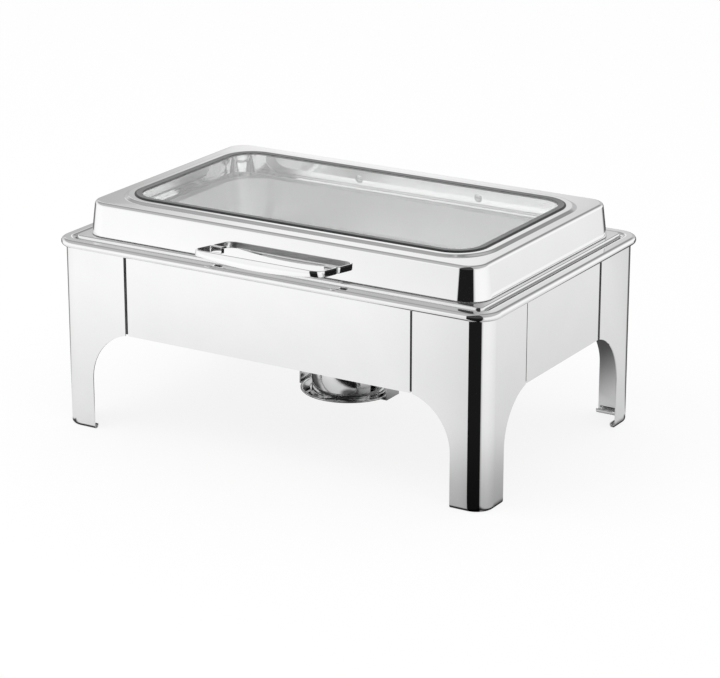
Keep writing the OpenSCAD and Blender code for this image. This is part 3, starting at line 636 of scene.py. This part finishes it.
def cup_profile():
    """Section of the fuel cup: foot ring, groove, rolled mouth, and a floor set up inside."""
    inside = CUP_R - SHEET
    floor = CUP_FOOT + CUP_FLOOR
    under_roll = CUP_TOP - 2 * CUP_ROLL
    profile = [(inside, CUP_FOOT), (CUP_R - 0.3, CUP_FOOT), (CUP_R, CUP_FOOT + 0.4),
        (CUP_R, CUP_TOP - 9.4), (CUP_R - GROOVE_IN, CUP_TOP - 8.8),
        (CUP_R - GROOVE_IN, CUP_TOP - 8.0), (CUP_R, CUP_TOP - 7.4), (CUP_R, under_roll)]
    profile += roll(CUP_R - CUP_ROLL, CUP_TOP - CUP_ROLL, CUP_ROLL, 0, 180)
    profile += [(inside - 1, under_roll), (inside, CUP_TOP - 3.2), (inside, floor + 4.2),
        (inside - 0.9, floor + 1.9), (inside - 3.2, floor + SHEET), (0.4, floor + SHEET), (0.4, floor),
        (inside - 3, floor), (inside, floor - 1.4)]
    return profile


def ear_outline():
    """Plan of the cup's ear: straight sides from the wall to a round end about the pivot."""
    root = -CUP_R + 3
    outline = [(-EAR_HALF, root), (-EAR_HALF, -EAR_OUT)]
    for degrees in range(190, 360, 10):
        at = math.radians(degrees)
        outline.append((EAR_HALF * math.cos(at), EAR_HALF * math.sin(at) - EAR_OUT))
    return outline + [(EAR_HALF, -EAR_OUT), (EAR_HALF, root)]


def add_fuel_cup():
    """Drawn cup with an ear for the cover's pivot."""
    points, faces = turned(cup_profile())
    ear = ear_outline()
    low = [(x, y, CUP_TOP - EAR_H) for x, y in ear]
    high = [(x, y, CUP_TOP) for x, y in ear]
    ear_points, ear_faces = skin(low + high, 2, False, True, True)
    shift = len(points)
    faces = faces + [tuple(i + shift for i in face) for face in ear_faces]
    new_piece("fuel_can", points + ear_points, faces, BURNER, "fuel_cup", "burner_steel", "fuel_cup")


# Sheet edges

SHEET_PIECES = FINISH["polished_steel"][1][:8]
EDGE_ANGLE = math.radians(50)


def ease_edges(width, *members):
    """Breaks the sharp edges of CAD nodes, by a width in millimetres."""
    for member in members:
        eased = nodes[member].modifiers.new("eased_edges", "BEVEL")
        eased.width = width * MM
        eased.segments = 2
        eased.limit_method = "ANGLE"
        eased.angle_limit = EDGE_ANGLE
        eased.harden_normals = True


add_lid()
add_gasket()
add_handle()
add_water_pan()
add_saucer()
add_fuel_cup()
ease_edges(0.35, *SHEET_PIECES)
ease_edges(0.25, "fuel_cover", "burner_strap", "glass_panel")


# Stage, in metres

def worked(tree, operation, value, other):
    """A value and a number put through one sum."""
    made = tree.nodes.new("ShaderNodeMath")
    made.operation = operation
    made.inputs[1].default_value = other
    tree.links.new(value, made.inputs[0])
    return made.outputs["Value"]


def combined(tree, operation, first, *others):
    """Several values brought together, one after the other."""
    for other in others:
        made = tree.nodes.new("ShaderNodeMath")
        made.operation = operation
        tree.links.new(first, made.inputs[0])
        tree.links.new(other, made.inputs[1])
        first = made.outputs["Value"]
    return first


def magnitude(tree, value):
    """A value without its sign."""
    made = tree.nodes.new("ShaderNodeMath")
    made.operation = "ABSOLUTE"
    tree.links.new(value, made.inputs[0])
    return made.outputs["Value"]


def along_axes(tree, vector):
    """The three parts of a vector."""
    made = tree.nodes.new("ShaderNodeSeparateXYZ")
    tree.links.new(vector, made.inputs["Vector"])
    return made.outputs["X"], made.outputs["Y"], made.outputs["Z"]


def azimuth(tree, x, y, apex=(0, 0, 0)):
    """Compass angle about an apex, as a share of a turn: the front is 0.5, the right is more."""
    across = worked(tree, "SUBTRACT", x, apex[0])
    ahead = worked(tree, "MULTIPLY", worked(tree, "SUBTRACT", y, apex[1]), -1)
    share = tree.nodes.new("ShaderNodeMapRange")
    share.inputs["From Min"].default_value = -math.pi
    share.inputs["From Max"].default_value = math.pi
    tree.links.new(combined(tree, "ARCTAN2", across, ahead), share.inputs["Value"])
    return share.outputs["Result"]


def ramp(tree, value, stops):
    """Grey levels along a value from 0 to 1."""
    made = tree.nodes.new("ShaderNodeValToRGB")
    made.color_ramp.elements.remove(made.color_ramp.elements[1])
    for i, (at, level) in enumerate(stops):
        stop = made.color_ramp.elements[0] if i == 0 else made.color_ramp.elements.new(at)
        stop.position = at
        stop.color = (level, level, level, 1)
    tree.links.new(value, made.inputs["Fac"])
    return made.outputs["Color"]


def graded(tree, value, near, far, low, high=1.0):
    """A level that eases from low, where a value is below near, to high above far."""
    share = tree.nodes.new("ShaderNodeMapRange")
    share.interpolation_type = "SMOOTHSTEP"
    share.inputs["From Min"].default_value = near
    share.inputs["From Max"].default_value = far
    share.inputs["To Min"].default_value = low
    share.inputs["To Max"].default_value = high
    tree.links.new(value, share.inputs["Value"])
    return share.outputs["Result"]


def distance(tree, vector, centre):
    """Distance of a point from a centre."""
    made = tree.nodes.new("ShaderNodeVectorMath")
    made.operation = "DISTANCE"
    made.inputs[1].default_value = centre
    tree.links.new(vector, made.inputs[0])
    return made.outputs["Value"]


def round_about(*stops):
    """Stops given in degrees of azimuth, as places on a ramp."""
    return [((angle + 180) / 360, level) for angle, level in stops]


def mixed(tree, share, first, second):
    """Two shaders mixed by a number or a socket: 1 gives the second one alone."""
    made = tree.nodes.new("ShaderNodeMixShader")
    if isinstance(share, float):
        made.inputs["Fac"].default_value = share
    else:
        tree.links.new(share, made.inputs["Fac"])
    tree.links.new(first, made.inputs[1])
    tree.links.new(second, made.inputs[2])
    return made.outputs["Shader"]


# What metal mirrors: grey levels of the floor and the room by compass angle, 0 in front and growing to
# the right. On the floor they are a painted reflection field that only metal and glass see. The dark
# field at the right front is painted there to show as the black bar on the front leg and on the lid's
# corner.

FRONT_RING = round_about((-180, 0.8), (-150, 0.8), (-128, 0.6), (-118, 0.12), (-101, 0.2),
    (-94, 0.86), (-62, 0.9), (-52, 0.91), (-41, 0.9), (-34, 0.84), (-27, 0.74), (-24, 0.01),
    (46, 0.01), (49, 0.55), (58, 0.86), (90, 0.88), (140, 0.84), (160, 0.78), (176, 0.76), (180, 0.8))
REAR_RING = round_about((-180, 0.1), (-150, 0.1), (-120, 1), (150, 1), (156, 0.75), (163, 0.15),
    (180, 0.1))
WALL_RING = round_about((-180, 0.5), (-156, 0.58), (-153, 0.75), (-150, 0.92), (-146, 0.97),
    (-142, 0.92), (-138, 0.75), (-125, 0.6), (-110, 0.75), (-90, 0.95), (-60, 1), (-28, 1),
    (-24, 0.1), (47, 0.1), (50, 0.8), (110, 1), (149, 1), (165, 0.95), (180, 0.5))
HORIZON_RING = round_about((-180, 0.5), (-156, 0.53), (-153.5, 0.72), (-151, 0.92), (-147, 0.94),
    (-145.5, 0.75), (-144, 0.5), (-138, 0.46), (-120, 0.6), (-90, 0.95), (-60, 1), (-28, 0.95),
    (-24, 0.03), (47, 0.03), (50, 0.85), (110, 0.95), (149, 1), (165, 0.95), (180, 0.5))
CEILING = [(0.0, 1.0), (0.33, 1.0), (0.5, 0.52), (0.88, 0.5), (1.0, 0.5)]
HORIZON_LOW = 0.275
HORIZON_HIGH = 0.315
PALE_ROOM = 1.15
MIDDLE = (0, 0, 0)
FRONT_CORNER = (0.284, -0.181, 0)
REAR_CORNER = (0.284, 0.181, 0)
BURNER_FRONT = (0.12, -0.21, 0)
STAND_HALF_L = 0.3
STAND_HALF_W = 0.193
UNDER_DISH = 0.22
FLOOR_SIZE = 12
FLOOR_DROP = 0.0004
FLOOR_GREY = (0.9, 0.9, 0.9, 1)
FLOOR_GLOW = 0.85
MIRRORED_GLOW = 0.5
WHITE = (1, 1, 1, 1)


def floor_in_metal(tree):
    """Painted tones of the floor as metal sees it: painted brighter far out, with painted shade under
    the dish, at the feet, near the dish, by the front leg and in front of the burner.
    """
    spot = tree.nodes.new("ShaderNodeNewGeometry").outputs["Position"]
    x, y = along_axes(tree, spot)[:2]
    across = magnitude(tree, x)
    along = magnitude(tree, y)
    from_middle = distance(tree, spot, MIDDLE)
    from_foot = magnitude(tree, combined(tree, "MAXIMUM",
        worked(tree, "SUBTRACT", across, STAND_HALF_L), worked(tree, "SUBTRACT", along, STAND_HALF_W)))
    front = ramp(tree, azimuth(tree, x, y, FRONT_CORNER), FRONT_RING)
    rear = ramp(tree, azimuth(tree, x, y, REAR_CORNER), REAR_RING)
    # Painted shade: darker under the dish, at the feet, near the dish, by the front leg and in front of
    # the burner. Painted brighter far out.
    under_dish = combined(tree, "MAXIMUM", graded(tree, across, 0.14, 0.27, UNDER_DISH),
        graded(tree, along, 0.06, 0.16, UNDER_DISH))
    at_foot = graded(tree, from_foot, 0.002, 0.011, 0.06)
    near = graded(tree, from_middle, 0.5, 1.0, 0.9)
    far = graded(tree, from_middle, 1.0, 2.4, 1.0, 1.12)
    by_leg = graded(tree, distance(tree, spot, FRONT_CORNER), 0.0, 0.32, 0.56)
    by_burner = graded(tree, distance(tree, spot, BURNER_FRONT), 0.05, 0.12, 0.2)
    return combined(tree, "MULTIPLY", front, rear, under_dish, at_foot, near, far, by_leg, by_burner)


def add_floor():
    """A white sweep for the camera, whose tones metal and glass see."""
    material = bpy.data.materials.new("floor")
    material.use_nodes = True
    tree = material.node_tree
    tree.nodes.remove(tree.nodes["Principled BSDF"])
    paint = tree.nodes.new("ShaderNodeBsdfDiffuse")
    paint.inputs["Color"].default_value = FLOOR_GREY
    glow = tree.nodes.new("ShaderNodeEmission")
    shown = mixed(tree, FLOOR_GLOW, paint.outputs["BSDF"], glow.outputs["Emission"])
    tones = floor_in_metal(tree)
    mirror_paint = tree.nodes.new("ShaderNodeBsdfDiffuse")
    tree.links.new(tones, mirror_paint.inputs["Color"])
    mirror_glow = tree.nodes.new("ShaderNodeEmission")
    tree.links.new(tones, mirror_glow.inputs["Color"])
    mirrored = mixed(tree, MIRRORED_GLOW, mirror_paint.outputs["BSDF"], mirror_glow.outputs["Emission"])
    path = tree.nodes.new("ShaderNodeLightPath")
    sent_on = combined(tree, "MAXIMUM", path.outputs["Is Glossy Ray"],
        path.outputs["Is Transmission Ray"])
    direct = mixed(tree, path.outputs["Is Camera Ray"], paint.outputs["BSDF"], shown)
    surface = mixed(tree, sent_on, direct, mirrored)
    tree.links.new(surface, tree.nodes["Material Output"].inputs["Surface"])
    mesh = bpy.data.meshes.new("floor")
    corners = ((-1, -1), (1, -1), (1, 1), (-1, 1))
    mesh.from_pydata([(x * FLOOR_SIZE, y * FLOOR_SIZE, 0) for x, y in corners], [], [(0, 1, 2, 3)])
    mesh.materials.append(material)
    floor = bpy.data.objects.new("floor", mesh)
    floor.location.z = -FLOOR_DROP
    scene.collection.objects.link(floor)


def background(tree, strength=1.0):
    """A plain white background."""
    made = tree.nodes.new("ShaderNodeBackground")
    made.inputs["Color"].default_value = WHITE
    made.inputs["Strength"].default_value = strength
    return made


def add_world():
    """A white room: the camera sees plain white, and metal sees the grey levels of its walls."""
    world = bpy.data.worlds.new("room")
    scene.world = world
    world.use_nodes = True
    tree = world.node_tree
    tree.nodes.remove(tree.nodes["Background"])
    x, y, height = along_axes(tree, tree.nodes.new("ShaderNodeTexCoord").outputs["Generated"])
    turn = azimuth(tree, x, y)
    upper = combined(tree, "MULTIPLY", ramp(tree, turn, WALL_RING), ramp(tree, height, CEILING))
    lift = tree.nodes.new("ShaderNodeMapRange")
    lift.interpolation_type = "SMOOTHSTEP"
    lift.inputs["From Min"].default_value = HORIZON_LOW
    lift.inputs["From Max"].default_value = HORIZON_HIGH
    tree.links.new(height, lift.inputs["Value"])
    tree.links.new(ramp(tree, turn, HORIZON_RING), lift.inputs["To Min"])
    tree.links.new(upper, lift.inputs["To Max"])
    room = background(tree)
    tree.links.new(lift.outputs["Result"], room.inputs["Color"])
    plain = background(tree)
    pale = background(tree, PALE_ROOM)
    path = tree.nodes.new("ShaderNodeLightPath")
    direct = mixed(tree, path.outputs["Is Glossy Ray"], plain.outputs["Background"],
        room.outputs["Background"])
    surface = mixed(tree, path.outputs["Is Transmission Ray"], direct, pale.outputs["Background"])
    tree.links.new(surface, tree.nodes["World Output"].inputs["Surface"])


# Light

LAMP_PLACE = Vector((-0.9, -1.1, 2.2))
LAMP_AIM = Vector((0, 0, 0.1))
LAMP_L = 1.6
LAMP_W = 1.2
LAMP_POWER = 12


def add_light():
    """A broad soft lamp over the front left."""
    data = bpy.data.lights.new("soft_lamp", "AREA")
    data.shape = "RECTANGLE"
    data.size = LAMP_L
    data.size_y = LAMP_W
    data.energy = LAMP_POWER
    lamp = bpy.data.objects.new("soft_lamp", data)
    lamp.location = LAMP_PLACE
    lamp.rotation_euler = (LAMP_AIM - LAMP_PLACE).to_track_quat("-Z", "Y").to_euler()
    lamp.visible_glossy = False
    scene.collection.objects.link(lamp)


add_floor()
add_world()
add_light()
scene.view_settings.view_transform = "Standard"
